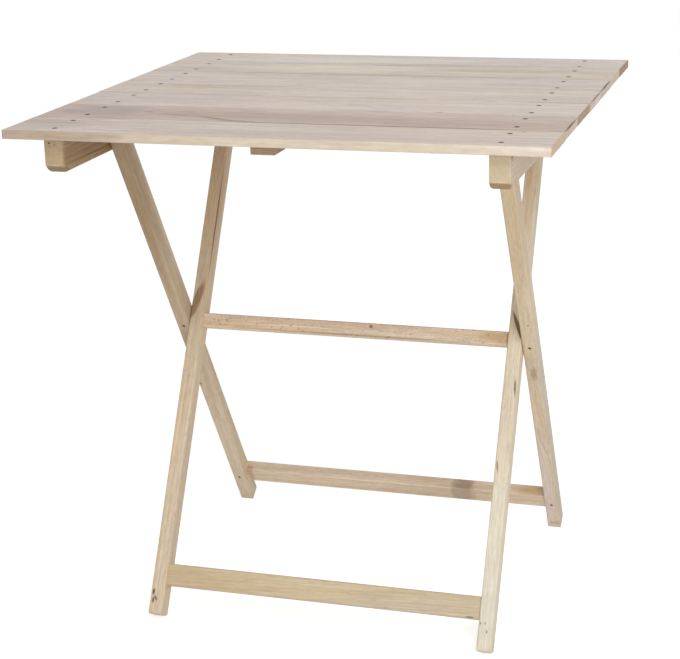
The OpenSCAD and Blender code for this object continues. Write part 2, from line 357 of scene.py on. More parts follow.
@dataclass
class BeechDrawing:
    """The shader of one piece of beech, drawn layer by layer in the piece's own axes."""

    finish: RawBeech
    add: Add
    grain: Grain
    centre: Vector
    row: BoardRow | None
    point: Node = field(init=False)
    number: Node | None = field(init=False)
    drawn: Node = field(init=False)

    def __post_init__(self) -> None:
        """Finds the point in the piece's own axes, the board's number and the point of the fibres."""
        self.point, self.number = self.own_point()
        self.drawn = self.drifted()

    def own_point(self) -> tuple[Node, Node | None]:
        """Leads from Object coordinates into the piece's own axes.

        Returns:
            The point, and the board's number from 0, if there is a row.
        """
        add, row = self.add, self.row
        location, rotation = self.grain.place(self.centre)
        seen = add("ShaderNodeTexCoord").outputs["Object"]
        point = add("ShaderNodeMapping", {"Vector": seen, "Location": location, "Rotation": rotation})
        if row is None:
            return point, None
        # Each board has its zero point on its own middle line, and its own stretch of the log.
        x, y, z = add(SEPARATE, (point,)).outputs
        cell = add(MATH, (y, 1 / row.pitch, -row.first / row.pitch), operation="MULTIPLY_ADD")
        number = add(MATH, (cell,), operation="FLOOR")
        middle = add(MATH, (number, row.pitch, row.first + row.pitch / 2), operation="MULTIPLY_ADD")
        along = add(MATH, (number, row.apart, x), operation="MULTIPLY_ADD")
        across = add(MATH, (y, middle), operation="SUBTRACT")
        through = add(MATH, (number, row.deeper, z), operation="MULTIPLY_ADD")
        return add(COMBINE, (along, across, through)), number

    def drifted(self) -> Node:
        """Turns and bends the point, so that the fibres drift and waver as they do in sawn stock.

        Returns:
            The point that the fibres follow.
        """
        across, through = (math.radians(r) for r in self.grain.runout)
        turned = self.add(
            "ShaderNodeMapping",
            {"Vector": self.point, "Location": (self.grain.shift, 0, 0), "Rotation": (0, through, -across)},
        )
        sway = self.stretched(turned, self.finish.sway_mm).outputs["Color"]
        centred = self.add(VECTOR_MATH, (sway, (0.5, 0.5, 0.5)), operation="SUBTRACT")
        reach = 2 * self.finish.warp_mm * MM
        return self.add(VECTOR_MATH, (centred, (0.0, reach, reach), turned), operation="MULTIPLY_ADD")

    def stretched(self, where: Node, size_mm: Pair, detail: float = 2.0) -> Node:
        """Adds noise that is drawn out along the grain.

        Args:
            where: The point.
            size_mm: The noise's size along and across the grain.
            detail: How many finer layers it has.

        Returns:
            The noise.
        """
        long, wide = (1 / (s * MM) for s in size_mm)
        scaled = self.add(VECTOR_MATH, (where, (long, wide, wide)), operation="MULTIPLY")
        return self.add(
            "ShaderNodeTexNoise",
            {"Vector": scaled, "Scale": 1.0, "Detail": detail, "Roughness": self.finish.noise_roughness},
        )

    def patches(
        self, where: Node, size_mm: Pair, band: Pair,
        shares: Pair, detail: float = 2.0,
    ) -> Node:
        """Adds soft patches that are drawn out along the grain.

        Args:
            where: The point.
            size_mm: Their size along and across the grain.
            band: The noise at which they begin, and that at which they are full.
            shares: Their share between them, and that where they are full.
            detail: How many finer layers they have.

        Returns:
            The share.
        """
        noise = self.stretched(where, size_mm, detail)
        return self.add(MAP_RANGE, (noise, *band, *shares), interpolation_type="SMOOTHSTEP")

    def ring_pattern(self) -> Node:
        """Adds the year rings round the log's pith.

        Returns:
            1 on the dark late wood and 0 between.
        """
        add = self.add
        _, y, z = add(SEPARATE, (self.drawn,)).outputs
        across, through = (g * MM for g in self.grain.pith_mm)
        sides = [add(MATH, pair, operation="SUBTRACT") for pair in ((y, across), (z, through))]
        radius = add(VECTOR_MATH, (add(COMBINE, sides),), operation="LENGTH")
        turn = add(MATH, (radius, math.tau / (self.finish.ring_mm * MM)), operation="MULTIPLY")
        wave = add(MATH, (add(MATH, (turn,), operation="SINE"), 0.5, 0.5), operation="MULTIPLY_ADD")
        return add(MATH, (wave, self.finish.ring_sharpness), operation="POWER")

    def layers(self, ring: Node) -> Node:
        """Lays streaks, clouds, rings, lines and flecks over the palest wood, and tints the whole.

        Args:
            ring: The year rings.

        Returns:
            The wood's colour.
        """
        look, add, at = self.finish, self.add, self.drawn
        streak = self.patches(at, look.streak_mm, look.streak_band, (0.0, look.streak_depth), detail=3.0)
        cloud = self.patches(at, look.cloud_mm, look.cloud_band, (0.0, look.cloud_depth), detail=1.0)
        late = add(MATH, (ring, look.ring_depth), operation="MULTIPLY")
        line = self.patches(at, look.line_mm, look.line_band, (0.0, look.line_depth))
        speck = self.patches(at, look.fleck_mm, look.fleck_band, (0.0, look.fleck_depth), detail=1.0)
        colour = linear(look.pale)
        for share, tone in ((streak, look.warm), (cloud, look.cloud), (late, look.late), (line, look.late)):
            colour = add(MIX, {0: share, 6: colour, 7: linear(tone)}, data_type="RGBA")
        if self.row is not None:
            colour = self.board_tones(colour, self.row.tones)
        colour = add(MIX, {0: speck, 6: colour, 7: linear(look.fleck)}, data_type="RGBA")
        return add(MIX, {0: 1.0, 6: colour, 7: linear(look.tint)}, data_type="RGBA", blend_type="MULTIPLY")

    def draw(self, marks: Marks) -> None:
        """Draws the wood's layers and marks, its shade and its sheen, and ends in the material's output.

        Args:
            marks: The piece's own marks.
        """
        look, add, at = self.finish, self.add, self.drawn
        ring = self.ring_pattern()
        colour = self.layers(ring)
        for mark in marks:
            colour = self.marked(colour, mark)
        fibre = self.stretched(at, look.fibre_mm, detail=3.0)
        mottle = self.stretched(at, look.mottle_mm)
        shades = [
            add(MAP_RANGE, (noise, *look.shade_band, 1 + depth, 1 - depth), interpolation_type="SMOOTHSTEP")
            for noise, depth in ((fibre, look.fibre_depth), (mottle, look.mottle_depth))
        ]
        shade = add(MATH, shades, operation="MULTIPLY")
        colour = add("ShaderNodeHueSaturation", {"Value": shade, "Color": colour})
        if self.row is not None:
            colour = self.row_faces(colour)
        height = add(MATH, (ring, look.ring_relief, fibre), operation="MULTIPLY_ADD")
        bump = add(
            "ShaderNodeBump", {"Strength": look.relief_strength, "Distance": look.relief, "Height": height}
        )
        rough = add(MAP_RANGE, (fibre, *look.shade_band, *look.roughness), interpolation_type="SMOOTHSTEP")
        shader = add(
            "ShaderNodeBsdfPrincipled",
            {"Base Color": colour, "Roughness": rough, "Specular IOR Level": look.specular, "Normal": bump},
        )
        add("ShaderNodeOutputMaterial", {"Surface": shader})

    def marked(self, colour: Node, mark: Mark) -> Node:
        """Lays one mark over a colour.

        Args:
            colour: The wood's colour.
            mark: The mark.

        Returns:
            The colour with its mark.
        """
        centre = Vector(mark.at_mm) * MM
        if self.row is not None:
            centre += (mark.board - 1) * Vector((self.row.apart, 0, self.row.deeper))
        scaled = self.add(
            "ShaderNodeMapping",
            {
                "Vector": self.point, "Location": centre, "Rotation": (0, 0, math.radians(mark.slope)),
                "Scale": Vector(mark.radii_mm) * MM,
            },
            vector_type="TEXTURE",
        )
        away = self.add(VECTOR_MATH, (scaled,), operation="LENGTH")
        noise = self.add(
            "ShaderNodeTexNoise", {"Vector": scaled, "Scale": self.finish.tear_scale, "Detail": 3.0}
        )
        # The noise moves the rim in and out. Its mean is a half, so the reach is twice the raggedness.
        torn = self.add(MATH, (noise, mark.ragged * 2, away), operation="MULTIPLY_ADD")
        outer, inner = 1.0 + mark.ragged, 1.0 - mark.soft + mark.ragged
        mask = self.add(
            MAP_RANGE, (torn, outer, inner, 0.0, mark.strength), interpolation_type="SMOOTHSTEP"
        )
        return self.add(MIX, {0: mask, 6: colour, 7: linear(mark.colour)}, data_type="RGBA")

    def board_tones(self, colour: Node, tones: tuple[str, ...]) -> Node:
        """Tints each board of the row with its own tone.

        Args:
            colour: The wood's colour.
            tones: The boards' tones from the front.

        Returns:
            The tinted colour.
        """
        count = self.row.count
        share = self.add(MATH, (self.number, 1 / count, 0.5 / count), operation="MULTIPLY_ADD")
        ramp = self.add("ShaderNodeValToRGB", (share,))
        ramp.color_ramp.interpolation = "CONSTANT"
        stops = ramp.color_ramp.elements
        stops[1].position = 1 / count
        for extra in range(2, count):
            stops.new(extra / count)
        for stop, tone in zip(stops, tones):
            stop.color = linear(tone)
        return self.add(MIX, {0: 1.0, 6: colour, 7: ramp}, data_type="RGBA", blend_type="MULTIPLY")

    def row_faces(self, colour: Node) -> Node:
        """Gives a row its end faces, the dirt in its seams and the stains round its nails.

        Args:
            colour: The wood's colour.

        Returns:
            The colour with all three.
        """
        x, y, _ = self.add(SEPARATE, (self.point,)).outputs
        from_row = self.add(MATH, (self.number, -self.row.apart, x), operation="MULTIPLY_ADD")
        along = self.add(MATH, (from_row,), operation="ABSOLUTE")
        across = self.add(MATH, (y,), operation="ABSOLUTE")
        for share, tone in (
            (self.end_share(along), self.board_tones(colour, self.row.end_tones)),
            (self.seam_share(y, across), linear(self.row.seam_colour)),
            (self.stain_share(along, across), linear(self.row.stain_colour)),
        ):
            colour = self.add(MIX, {0: share, 6: colour, 7: tone}, data_type="RGBA")
        return colour

    def end_share(self, along: Node) -> Node:
        """Finds the boards' sawn ends, because end grain soaks up dust and light.

        Args:
            along: The distance from the row's middle along the boards.

        Returns:
            1 on the end faces.
        """
        edges = [self.row.half_length - reach for reach in self.row.end_reach]
        return self.add(MAP_RANGE, (along, *edges), interpolation_type="SMOOTHSTEP")

    def seam_share(self, y: Socket, across: Node) -> Node:
        """Finds the boards' long edges by fits and starts, as dust lies in seams.

        Args:
            y: The place across the board.
            across: The distance from the board's middle line.

        Returns:
            The share of dirt.
        """
        add, row = self.add, self.row
        edge, rim = row.pitch / 2, row.pitch * row.count / 2
        near = add(MAP_RANGE, (across, *(edge - r for r in row.seam_reach)), interpolation_type="SMOOTHSTEP")
        from_middle = add(MATH, (self.number, row.pitch, edge - rim), operation="MULTIPLY_ADD")
        depth = add(MATH, (add(MATH, (from_middle, y), operation="ADD"),), operation="ABSOLUTE")
        inside = add(MAP_RANGE, (depth, *(rim - r for r in row.rim_reach)), interpolation_type="SMOOTHSTEP")
        patchy = self.patches(self.point, row.dirt_mm, row.dirt_band, row.dirt_share)
        both = add(MATH, (near, inside), operation="MULTIPLY")
        return add(MATH, (both, patchy), operation="MULTIPLY")

    def stain_share(self, along: Node, across: Node) -> Node:
        """Finds the wood in and round each sunk nail head, where steel stains beech.

        Args:
            along: The distance from the row's middle along the boards.
            across: The distance from the board's middle line.

        Returns:
            The share of stain.
        """
        add, row = self.add, self.row
        sides = [add(MATH, p, operation="SUBTRACT") for p in ((along, row.nail_x), (across, row.nail_y))]
        away = add(VECTOR_MATH, (add(COMBINE, sides),), operation="LENGTH")
        near = add(MAP_RANGE, (away, *row.stain_reach), interpolation_type="SMOOTHSTEP")
        uneven = self.patches(self.point, row.stain_mm, row.stain_band, row.stain_share)
        return add(MATH, (near, uneven), operation="MULTIPLY")


@dataclass(frozen=True)
class WireNailSteel:
    """Bright-drawn mild steel, dulled by damp wood: grey-brown, with a broken, blunt gleam."""

    name: str = "wire_nail_steel"
    clean: str = "#241d19"
    dull: str = "#110c0a"
    patch_mm: float = 1.2
    patch_band: Pair = (0.38, 0.62)
    rough_band: Pair = (0.35, 0.65)
    roughness: Pair = (0.5, 0.75)
    metallic: float = 0.3
    specular: float = 0.2

    def material(self) -> bpy.types.Material:
        """Makes the finish.

        Returns:
            The material.
        """
        made, add = new_material(self.name)
        seen = add("ShaderNodeTexCoord").outputs["Object"]
        noise = add("ShaderNodeTexNoise", {"Vector": seen, "Scale": 1 / (self.patch_mm * MM), "Detail": 3.0})
        patch = add(MAP_RANGE, (noise, *self.patch_band))
        colour = add(MIX, {0: patch, 6: linear(self.clean), 7: linear(self.dull)}, data_type="RGBA")
        rough = add(MAP_RANGE, (noise, *self.rough_band, *self.roughness))
        shader = add(
            "ShaderNodeBsdfPrincipled",
            {
                "Base Color": colour, "Metallic": self.metallic, "Specular IOR Level": self.specular,
                "Roughness": rough,
            },
        )
        add("ShaderNodeOutputMaterial", {"Surface": shader})
        return made


@dataclass(frozen=True)
class TurnedPinSteel:
    """Mild steel turned on a lathe: grey, with fine rings of tool marks round the pin."""

    name: str = "turned_pin_steel"
    colour: str = "#8f8c88"
    groove_mm: float = 0.35
    groove_depth: float = 0.05 * MM
    groove_strength: float = 0.25
    roughness: float = 0.46

    def material(self) -> bpy.types.Material:
        """Makes the finish.

        Returns:
            The material.
        """
        made, add = new_material(self.name)
        x = add(SEPARATE, (add("ShaderNodeTexCoord").outputs["Object"],)).outputs[0]
        turn = add(MATH, (x, math.tau / (self.groove_mm * MM)), operation="MULTIPLY")
        wave = add(MATH, (turn,), operation="SINE")
        bump = add(
            "ShaderNodeBump",
            {"Strength": self.groove_strength, "Distance": self.groove_depth, "Height": wave},
        )
        shader = add(
            "ShaderNodeBsdfPrincipled",
            {
                "Base Color": linear(self.colour), "Metallic": 1.0, "Roughness": self.roughness,
                "Normal": bump,
            },
        )
        add("ShaderNodeOutputMaterial", {"Surface": shader})
        return made


class GeometryTree:
    """A Geometry Nodes tree with named inputs, and the plain mesh that it makes."""

    def __init__(self, name: str, numbers: dict[str, float]) -> None:
        """Makes the tree with its inputs: a geometry, the named numbers and the finish.

        Args:
            name: The tree's name.
            numbers: The tree's sizes, counts and seed by name.
        """
        self.numbers = numbers
        self.tree = bpy.data.node_groups.new(name, "GeometryNodeTree")
        new_socket = self.tree.interface.new_socket
        new_socket("Geometry", in_out="INPUT", socket_type="NodeSocketGeometry")
        new_socket("Geometry", in_out="OUTPUT", socket_type="NodeSocketGeometry")
        for label, value in numbers.items():
            kind = "NodeSocketInt" if isinstance(value, int) else "NodeSocketFloat"
            new_socket(label, in_out="INPUT", socket_type=kind)
        new_socket("Finish", in_out="INPUT", socket_type="NodeSocketMaterial")
        self.add: Add = partial(add_node, self.tree)
        self.sizes = {socket.name: socket for socket in self.add("NodeGroupInput").outputs if socket.name}

    def close(self, geometry: Node) -> None:
        """Ends the tree in Realize Instances and Set Material.

        Args:
            geometry: What the tree has made.
        """
        real = self.add("GeometryNodeRealizeInstances", (geometry,))
        dressed = self.add("GeometryNodeSetMaterial", {"Geometry": real, "Material": self.sizes["Finish"]})
        self.add("NodeGroupOutput", (dressed,))

    def plain_mesh(
        self, name: str, carrier: bpy.types.Mesh, material: bpy.types.Material
    ) -> bpy.types.Object:
        """Runs the tree on a carrier mesh and keeps the result as a plain mesh.

        Args:
            name: The finished piece's name.
            carrier: The mesh that goes into the tree.
            material: The piece's finish.

        Returns:
            The finished piece.
        """
        worker = link_object(f"{name}_carrier", carrier)
        modifier = worker.modifiers.new("tree", "NODES")
        modifier.node_group = self.tree
        given = {**self.numbers, "Finish": material}
        for item in self.tree.interface.items_tree:
            if item.name in given:
                modifier[item.identifier] = given[item.name]
        seen = worker.evaluated_get(bpy.context.evaluated_depsgraph_get())
        mesh = bpy.data.meshes.new_from_object(seen)
        mesh.name = name
        bpy.data.objects.remove(worker)
        return link_object(name, mesh)


@dataclass
class PlankRow:
    """The row of boards, nailed across the rails: eased all round, with sunk nail places and uneven ends.

    A board starts as a cube with a grid of vertices on each face. The nail_edge is how far a nail is from
    the long edge of its board, and the seed_step tells the seeds of a row's uneven ends and faces apart.
    """

    count: int = 7
    seam: float = 0.5 * MM
    edge_r: float = 1.2 * MM
    end_step: float = 1.4 * MM
    face_step: float = 0.25 * MM
    nail_edge: float = 22 * MM
    pit_r: float = 2.6 * MM
    pit_depth: float = 1.6 * MM
    grid: int = 6
    seed: int = 5
    seed_step: float = 7.0
    low: Vector = field(init=False)
    high: Vector = field(init=False)
    size: Vector = field(init=False)
    width: float = field(init=False)
    pitch: float = field(init=False)
    nail_x: float = field(init=False)
    nail_y: float = field(init=False)

    def __post_init__(self) -> None:
        """Takes the row's outer sizes from the frame."""
        self.low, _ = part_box("plank_1")
        _, self.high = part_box(f"plank_{self.count}")
        nail_low, nail_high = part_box("plank_nails_right")
        self.size = self.high - self.low
        self.width = (self.size.y - (self.count - 1) * self.seam) / self.count
        self.pitch = self.width + self.seam
        self.nail_x = (nail_low.x + nail_high.x) / 2
        self.nail_y = self.width / 2 - self.nail_edge

    def nodes(self) -> list[str]:
        """Lists the frame's nodes that the row stands for."""
        return [f"plank_{i + 1}" for i in range(self.count)]

    def numbers(self) -> dict[str, float]:
        """Names the sizes, the count and the seed that go into the tree.

        Returns:
            The values by name.
        """
        return {
            "Boards": self.count, "Length": self.size.x, "Width": self.width,
            "Thickness": self.size.z, "Seam": self.seam, "Edge Radius": self.edge_r,
            "End Step": self.end_step, "Face Step": self.face_step, "First Y": self.low.y + self.width / 2,
            "Middle Z": (self.low.z + self.high.z) / 2, "Nail X": self.nail_x, "Nail Y": self.nail_y,
            "Pit Radius": self.pit_r, "Pit Depth": self.pit_depth, "Seed": self.seed,
        }

    def board(self, maker: GeometryTree) -> Node:
        """Makes one board about the origin: a box whose edges are all rounded.

        Args:
            maker: The tree.

        Returns:
            The board's mesh.
        """
        add, sizes = maker.add, maker.sizes
        grid = {f"Vertices {axis}": self.grid for axis in "XYZ"}
        cube = add("GeometryNodeMeshCube", {"Size": (2.0, 2.0, 2.0), **grid})
        # The vertices nearest the middle go to where the rounding starts, and the outermost to where it ends.
        start = 1 / (self.grid - 1)
        slope = 1 / (1 - start)
        place = add(SEPARATE, (add("GeometryNodeInputPosition"),))
        inner, out = [], []
        for at, label in zip(place.outputs, ("Length", "Width", "Thickness")):
            side = add(MATH, (at,), operation="SIGN")
            away = add(MATH, (at,), operation="ABSOLUTE")
            share = add(MATH, (away, slope, -start * slope), operation="MULTIPLY_ADD")
            half = add(MATH, (sizes[label], 0.5), operation="MULTIPLY")
            core = add(MATH, (half, sizes["Edge Radius"]), operation="SUBTRACT")
            inner.append(add(MATH, (side, core), operation="MULTIPLY"))
            out.append(add(MATH, (side, share), operation="MULTIPLY"))
        unit = add(VECTOR_MATH, (add(COMBINE, out),), operation="NORMALIZE")
        rounded = add(VECTOR_MATH, {0: unit, "Scale": sizes["Edge Radius"]}, operation="SCALE")
        point = add(VECTOR_MATH, (add(COMBINE, inner), rounded), operation="ADD")
        return add("GeometryNodeSetPosition", {"Geometry": cube, "Position": point})

    def build(self, material: bpy.types.Material) -> bpy.types.Object:
        """Makes the row as one mesh.

        Args:
            material: The boards' finish.

        Returns:
            The row.
        """
        maker = GeometryTree("board_row", self.numbers())
        add, sizes = maker.add, maker.sizes
        pitch = add(MATH, (sizes["Width"], sizes["Seam"]), operation="ADD")
        start = add(COMBINE, {1: sizes["First Y"], 2: sizes["Middle Z"]})
        step = add(COMBINE, {1: pitch})
        line = add(
            "GeometryNodeMeshLine", {"Count": sizes["Boards"], "Start Location": start, "Offset": step},
            mode="OFFSET",
        )
        counted = add(
            "GeometryNodeStoreNamedAttribute",
            {"Geometry": line, "Name": "board", "Value": add("GeometryNodeInputIndex")},
            data_type="INT", domain="POINT",
        )
        placed = add("GeometryNodeInstanceOnPoints", {"Points": counted, "Instance": self.board(maker)})
        boards = add("GeometryNodeRealizeInstances", (placed,))
        cut = add(
            "GeometryNodeMeshBoolean",
            {"Mesh 1": self.stepped(maker, boards), "Mesh 2": self.pits(maker, step)},
            operation="DIFFERENCE", solver="EXACT",
        )
        maker.close(cut)
        return maker.plain_mesh("plank_row", bpy.data.meshes.new("board_row_carrier"), material)

    def stepped(self, maker: GeometryTree, boards: Node) -> Node:
        """Draws each board's ends and top face back by a little, each by its own amount.

        Args:
            maker: The tree.
            boards: The boards' mesh.

        Returns:
            The uneven boards.
        """
        add, sizes = maker.add, maker.sizes
        place = add(SEPARATE, (add("GeometryNodeInputPosition"),))
        board = add("GeometryNodeInputNamedAttribute", {"Name": "board"}, data_type="INT")
        draws = []
        for k in range(3):
            seed = add(MATH, (sizes["Seed"], self.seed_step, float(k)), operation="MULTIPLY_ADD")
            draws.append(add("FunctionNodeRandomValue", {"ID": board, "Seed": seed}, data_type="FLOAT"))
        left_draw, right_draw, face_draw = draws
        right = add(MATH, (place.outputs[0], 0.0), operation="GREATER_THAN")
        inward = add(MATH, (right, -2.0, 1.0), operation="MULTIPLY_ADD")
        share = add(MIX, {0: right, 2: left_draw, 3: right_draw}, data_type="FLOAT")
        shift = add(MATH, (share, sizes["End Step"]), operation="MULTIPLY")
        top = add(MATH, (place.outputs[2], sizes["Middle Z"]), operation="GREATER_THAN")
        fall = add(MATH, (face_draw, sizes["Face Step"]), operation="MULTIPLY")
        drop = add(MATH, (fall, top), operation="MULTIPLY")
        offset = add(
            COMBINE,
            {
                0: add(MATH, (shift, inward), operation="MULTIPLY"),
                2: add(MATH, (drop, -1.0), operation="MULTIPLY"),
            },
        )
        return add("GeometryNodeSetPosition", {"Geometry": boards, "Offset": offset})

    def pits(self, maker: GeometryTree, step: Node) -> Node:
        """Makes the plugs that cut the sunk nail places out of the boards.

        Args:
            maker: The tree.
            step: The way from one board to the next.

        Returns:
            The plugs' mesh.
        """
        add, sizes = maker.add, maker.sizes
        depth = add(MATH, (sizes["Pit Depth"], 2.0), operation="MULTIPLY")
        plug = add(
            "GeometryNodeMeshCylinder", {"Vertices": AROUND, "Radius": sizes["Pit Radius"], "Depth": depth}
        )
        top = add(MATH, (sizes["Thickness"], 0.5, sizes["Middle Z"]), operation="MULTIPLY_ADD")
        rows = []
        for side in (-1.0, 1.0):
            x = add(MATH, (sizes["Nail X"], side), operation="MULTIPLY")
            for end in (-1.0, 1.0):
                first = add(MATH, (sizes["Nail Y"], end, sizes["First Y"]), operation="MULTIPLY_ADD")
                start = add(COMBINE, (x, first, top))
                rows.append(
                    add(
                        "GeometryNodeMeshLine",
                        {"Count": sizes["Boards"], "Start Location": start, "Offset": step}, mode="OFFSET",
                    )
                )
        joined = add("GeometryNodeJoinGeometry", (rows,))
        placed = add("GeometryNodeInstanceOnPoints", {"Points": joined, "Instance": plug})
        return add("GeometryNodeRealizeInstances", (placed,))


@dataclass
class NailSet:
    """A group of wire nails with eased heads, round shanks and cut points.

    An outline is a list of rings. The head's are shares of its thickness and radius, and the neck's are
    shares of the head's thickness and the shank's radius. The tip is a share of the shank's radius.
    """

    name: str
    places: list[tuple[Vector, Vector]]
    length: float
    head_r: float = 2.5 * MM
    head_t: float = 1.0 * MM
    shank_r: float = 1.1 * MM
    point: float = 3.0 * MM
    tilt: float = math.radians(1.0)
    head_outline: tuple[Pair, ...] = ((0.0, 0.78), (0.12, 0.94), (0.35, 1.0), (0.9, 1.0))
    neck_outline: tuple[Pair, ...] = ((1.0, 1.25), (1.4, 1.0))
    tip: float = 0.12
    seed: int = 11

    def nail(self, maker: GeometryTree) -> Node:
        """Makes one nail that points down, ring by ring from its head.

        Args:
            maker: The tree.

        Returns:
            The nail's mesh.
        """
        add, sizes = maker.add, maker.sizes
        shank, length = sizes["Shank Radius"], sizes["Length"]
        rings = []
        for radius, outline in ((sizes["Head Radius"], self.head_outline), (shank, self.neck_outline)):
            for down, wide in outline:
                level = add(MATH, (sizes["Head Thickness"], down), operation="MULTIPLY")
                rings.append((level, add(MATH, (radius, wide), operation="MULTIPLY")))
        rings.append((add(MATH, (length, sizes["Point"]), operation="SUBTRACT"), shank))
        rings.append((length, add(MATH, (shank, self.tip), operation="MULTIPLY")))
        disc = add("GeometryNodeMeshCircle", {"Vertices": AROUND, "Radius": rings[0][1]}, fill_type="NGON")
        body = add("GeometryNodeFlipFaces", (disc,))
        chosen = {}
        for (level, radius), (next_level, next_radius) in zip(rings, rings[1:]):
            fall = add(MATH, (next_level, level), operation="SUBTRACT")
            longer = add(
                "GeometryNodeExtrudeMesh",
                {
                    "Mesh": body, "Offset": (0.0, 0.0, -1.0), "Offset Scale": fall, "Individual": False,
                    **chosen,
                },
                mode="FACES",
            )
            chosen = {"Selection": longer.outputs["Top"]}
            growth = add(MATH, (next_radius, radius), operation="DIVIDE")
            body = add("GeometryNodeScaleElements", {"Geometry": longer, "Scale": growth, **chosen})
        joined = add("GeometryNodeJoinGeometry", ([disc, body],))
        return add("GeometryNodeMergeByDistance", {"Geometry": joined, "Distance": MERGE})

    def carrier(self) -> bpy.types.Mesh:
        """Makes a mesh with one vertex at each nail's head, which knows the way that the nail is driven.

        Returns:
            The mesh.
        """
        mesh = bpy.data.meshes.new(f"{self.name}_places")
        mesh.from_pydata([tuple(at) for at, _ in self.places], [], [])
        drive = mesh.attributes.new("drive", "FLOAT_VECTOR", "POINT")
        for item, (_, way) in zip(drive.data, self.places):
            item.vector = way
        return mesh

    def build(self, material: bpy.types.Material) -> bpy.types.Object:
        """Makes the group as one mesh.

        Args:
            material: The nails' finish.

        Returns:
            The group.
        """
        numbers = {
            "Length": self.length, "Head Radius": self.head_r, "Head Thickness": self.head_t,
            "Shank Radius": self.shank_r, "Point": self.point, "Tilt": self.tilt, "Seed": self.seed,
        }
        maker = GeometryTree(f"nails_{self.name}", numbers)
        add, tilt = maker.add, maker.sizes["Tilt"]
        points = add("GeometryNodeMeshToPoints", {"Mesh": maker.sizes["Geometry"]})
        drive = add("GeometryNodeInputNamedAttribute", {"Name": "drive"}, data_type="FLOAT_VECTOR")
        up = add(VECTOR_MATH, {0: drive, "Scale": -1.0}, operation="SCALE")
        turn = add("FunctionNodeAlignRotationToVector", {"Vector": up}, axis="Z")
        placed = add(
            "GeometryNodeInstanceOnPoints", {"Points": points, "Instance": self.nail(maker), "Rotation": turn}
        )
        back = add(MATH, (tilt, -1.0), operation="MULTIPLY")
        least, most = add(COMBINE, (back, back)), add(COMBINE, (tilt, tilt, math.tau))
        spin = add(
            "FunctionNodeRandomValue", {"Min": least, "Max": most, "Seed": maker.sizes["Seed"]},
            data_type="FLOAT_VECTOR",
        )
        maker.close(add("GeometryNodeRotateInstances", {"Instances": placed, "Rotation": spin}))
        return maker.plain_mesh(f"{self.name}_detailed", self.carrier(), material)


@dataclass(frozen=True)
class EasedArris:
    """The small flat that sandpaper leaves on an arris, and which of a mesh's edges are sharp arrises."""

    width: float = 0.7 * MM
    segments: int = 2
    profile: float = 0.5
    sharp: float = math.radians(40)
    level: float = math.radians(0.5)
    least_widths: float = 4.0

    def is_arris(self, edge: bmesh.types.BMEdge) -> bool:
        """Tells whether an edge is sharp and long enough to be eased."""
        sharp = edge.is_manifold and edge.calc_face_angle(0) > self.sharp
        return sharp and edge.calc_length() > self.least_widths * self.width

    def eased(self, source: bpy.types.Mesh, name: str) -> bpy.types.Mesh:
        """Copies a mesh with its arrises broken.

        Args:
            source: The mesh.
            name: The copy's name.

        Returns:
            The copy.
        """
        shell = bmesh.new()
        shell.from_mesh(source)
        bmesh.ops.remove_doubles(shell, verts=shell.verts, dist=MERGE)
        bmesh.ops.dissolve_limit(
            shell, angle_limit=self.level, verts=shell.verts, edges=shell.edges, delimit={"NORMAL"}
        )
        arrises = [edge for edge in shell.edges if self.is_arris(edge)]
        bmesh.ops.bevel(
            shell, geom=arrises, offset=self.width, segments=self.segments, profile=self.profile,
            affect="EDGES", clamp_overlap=True,
        )
        bmesh.ops.triangulate(shell, faces=shell.faces)
        mesh = bpy.data.meshes.new(name)
        shell.to_mesh(mesh)
        shell.free()
        return mesh


@dataclass(frozen=True)
class Piece:
    """A wooden piece that keeps its frame shape: its grain, finish and marks, and their zero point."""

    node: str
    grain: Grain
    finish: RawBeech
    marks: Marks = ()
    zero: Vector | None = None


@dataclass
class SubAssembly:
    """Pieces that ride on one body."""

    frame: dict
    body: Body

    def middle_x(self, node: str) -> float:
        """Gives the middle of a node's width."""
        low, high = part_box(node)
        return (low.x + high.x) / 2

    def dress_nodes(self, pieces: Iterable[Piece]) -> None:
        """Gives each wooden node of the frame its own finish.

        Args:
            pieces: The pieces to dress.
        """
        for piece in pieces:
            low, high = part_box(piece.node)
            zero = piece.zero or (low + high) / 2
            material = piece.finish.material(piece.node, piece.grain, zero, piece.marks)
            dress(self.frame["nodes"][piece.node], material)
            log.info("%s: dressed in %s", piece.node, material.name)

    def ease_nodes(self, nodes: list[str], arris: EasedArris) -> None:
        """Lets copies whose sharp arrises are broken stand for dressed nodes of the frame.

        Args:
            nodes: The nodes, already dressed.
            arris: What sandpaper leaves of an arris.
        """
        for node in nodes:
            source = self.frame["nodes"][node].data
            name = f"{node}_eased"
            piece = link_object(name, arris.eased(source, name))
            dress(piece, source.materials[0])
            self.fit(piece, Slot.FRAME, [node])

    def fit(self, made: bpy.types.Object, slot: Slot, nodes: list[str]) -> None:
        """Lets a new piece ride on the body and stand for the frame's nodes.

        Args:
            made: The piece.
            slot: The material slot that it takes its finish from.
            nodes: The nodes that it replaces.
        """
        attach(made, self.body.value)
        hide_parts(*nodes)
        log.info("%s: %d faces, stands for %s", made.name, len(made.data.polygons), ", ".join(nodes))


